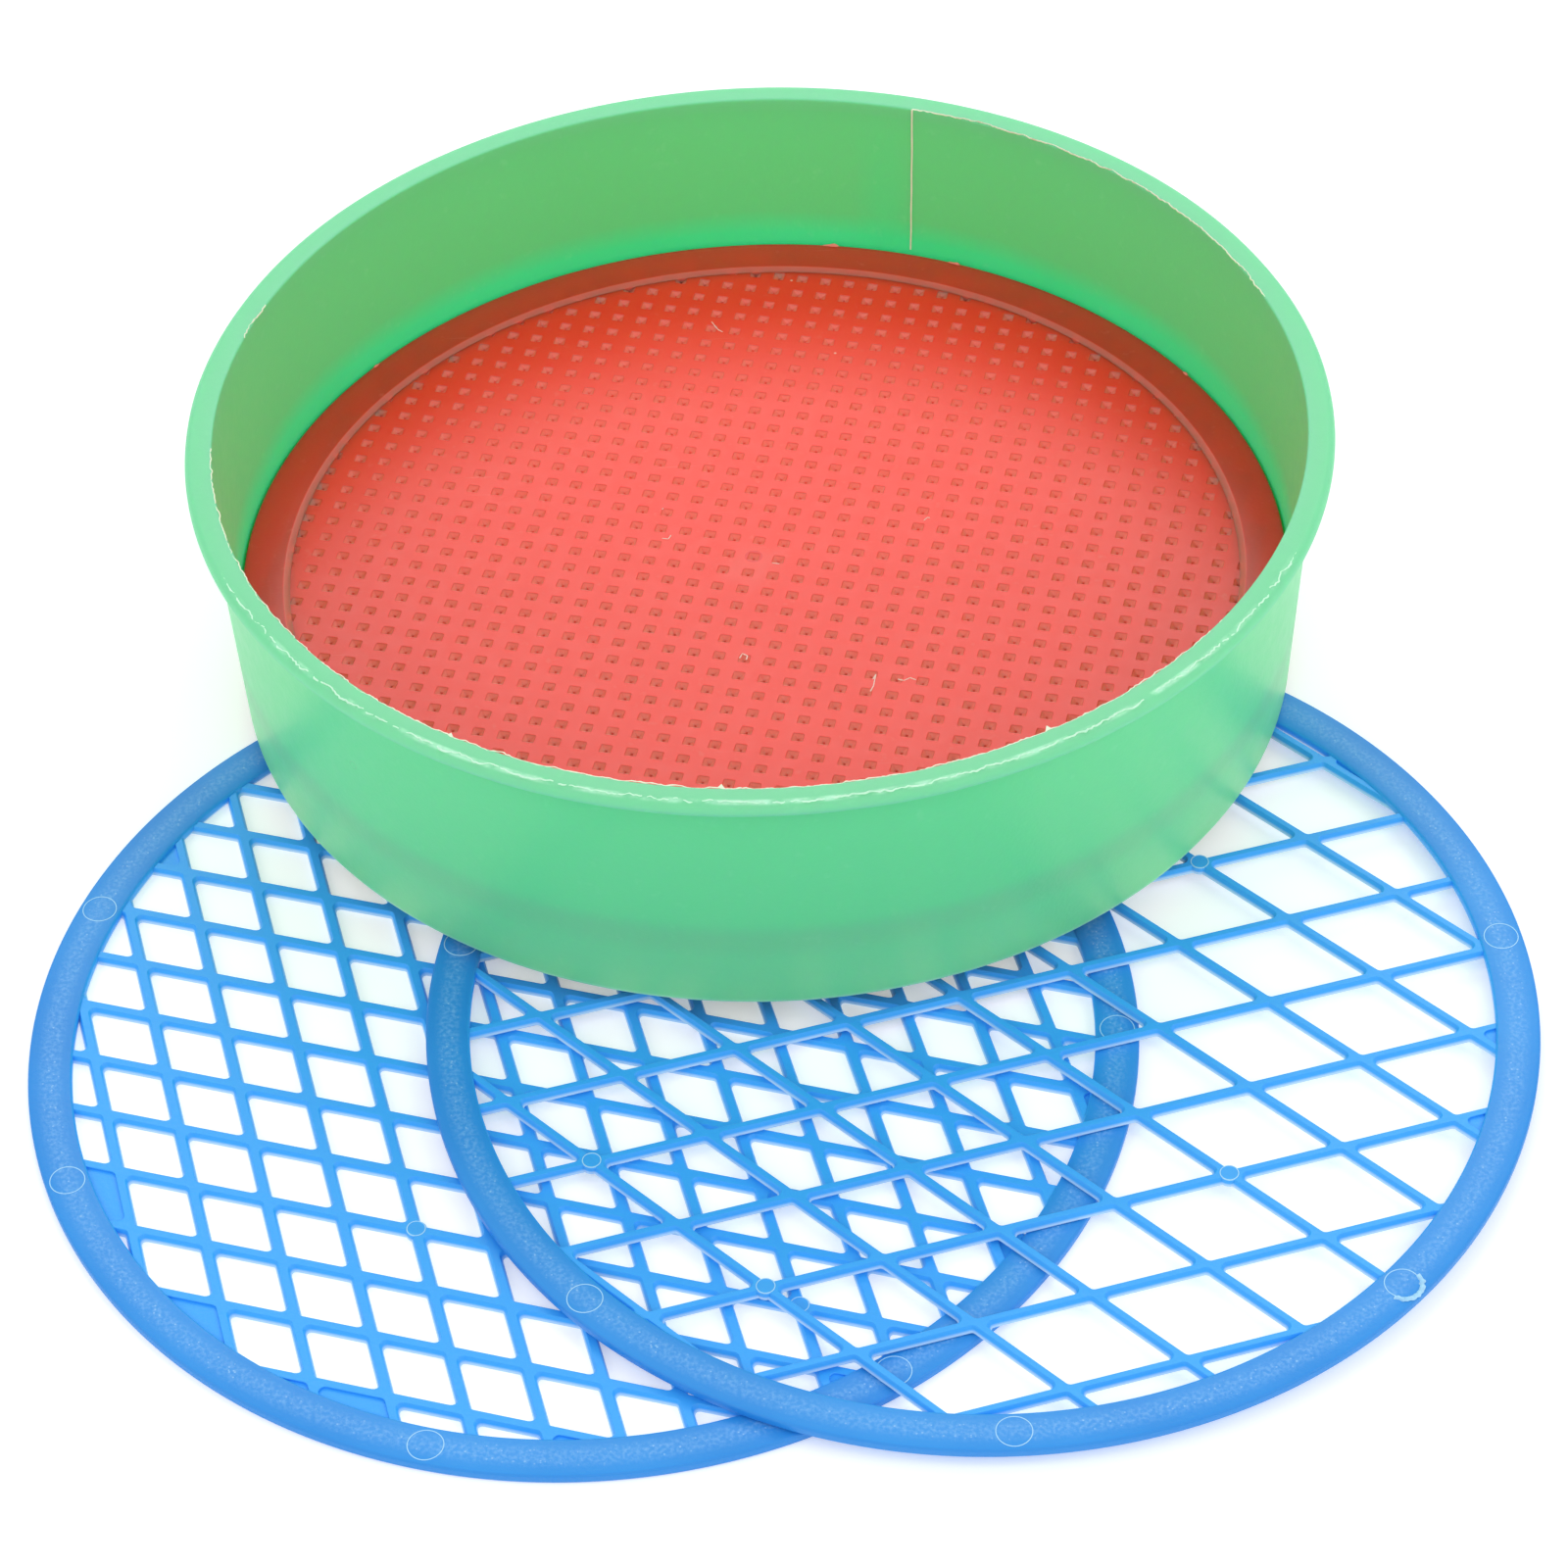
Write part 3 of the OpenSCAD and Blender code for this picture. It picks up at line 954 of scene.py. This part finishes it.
def softbox(name, place, size, power):
    """Rectangular lamp that aims at the origin"""
    lamp = bpy.data.lights.new(name, "AREA")
    lamp.shape, lamp.size, lamp.size_y, lamp.energy = "RECTANGLE", size[0], size[1], power
    made = in_scene(name, lamp)
    made.location = place
    made.rotation_mode = "QUATERNION"
    made.rotation_quaternion = (-Vector(place)).to_track_quat("-Z", "Y")


def outline_points():
    """Points on the circles that bound the object's picture"""
    discs = [(node, disc_seat(node), RING_T) for node in ("medium_mesh", "coarse_mesh")]
    points = []
    for node, place, top in [("hoop", hoop_seat(), HOOP_H)] + discs:
        radius = reach(node)
        for z in (0, top):
            circle = [(along(turn) * radius).to_3d() + UP * z for turn in range(0, 360, 5)]
            points += [place @ spot for spot in circle]
    return points


def turned(look, roll):
    """Camera axes that look along a direction, rolled about it"""
    side = look.cross(UP).normalized()
    rise = side.cross(look)
    right = math.cos(roll) * side + math.sin(roll) * rise
    up = -math.sin(roll) * side + math.cos(roll) * rise
    return Matrix((right, up, -look)).transposed()


def camera():
    """The photograph's viewpoint, turned and zoomed so that the whole object is in the frame"""
    hoop_place = hoop_seat()
    back = Vector((0, -math.cos(CAMERA_RISE), math.sin(CAMERA_RISE)))
    place = hoop_place @ (CAMERA_TARGET + back * CAMERA_DISTANCE)
    look = -(hoop_place.to_3x3() @ back)
    points = outline_points()
    for _ in range(AIM_ROUNDS):
        axes = turned(look, CAMERA_ROLL)
        local = [axes.transposed() @ (p - place) for p in points]
        across = [p.x / -p.z for p in local]
        upward = [p.y / -p.z for p in local]
        spot = Vector(((min(across) + max(across)) / 2, (min(upward) + max(upward)) / 2, -1))
        look = (axes @ spot).normalized()
    widest = max(max(across) - min(across), max(upward) - min(upward))
    made = bpy.data.cameras.new("camera")
    made.sensor_width, made.lens = SENSOR, SENSOR * FILL / widest
    made.clip_start, made.clip_end = 0.05, 50
    seen = in_scene("camera", made)
    seen.rotation_mode = "QUATERNION"
    seen.location, seen.rotation_quaternion = place, turned(look, CAMERA_ROLL).to_quaternion()
    bpy.context.scene.camera = seen


hoop_piece(green_plastic())
hoop_flash(flash_plastic("green_flash", CREAM))
rim_line(flash_plastic("pale_line", PALE_LINE))
fine_disc(red_plastic(), hole_plastic())
lint(flash_plastic("pale_lint", PALE_LINT))
ring_flash(flash_plastic("red_flash", RED_FLASH))
pale_blue = flash_plastic("blue_flash", BLUE_FLASH)
spare_disc("medium_mesh_disc", "medium_mesh", "medium_disc", MEDIUM, blue_plastic("medium_mesh"), pale_blue)
spare_disc("coarse_mesh_disc", "coarse_mesh", "coarse_disc", COARSE, blue_plastic("coarse_mesh"), pale_blue)

camera()
floor()
sky()
for lamp in LAMPS:
    softbox(*lamp)
bpy.context.scene.view_settings.view_transform = "Standard"
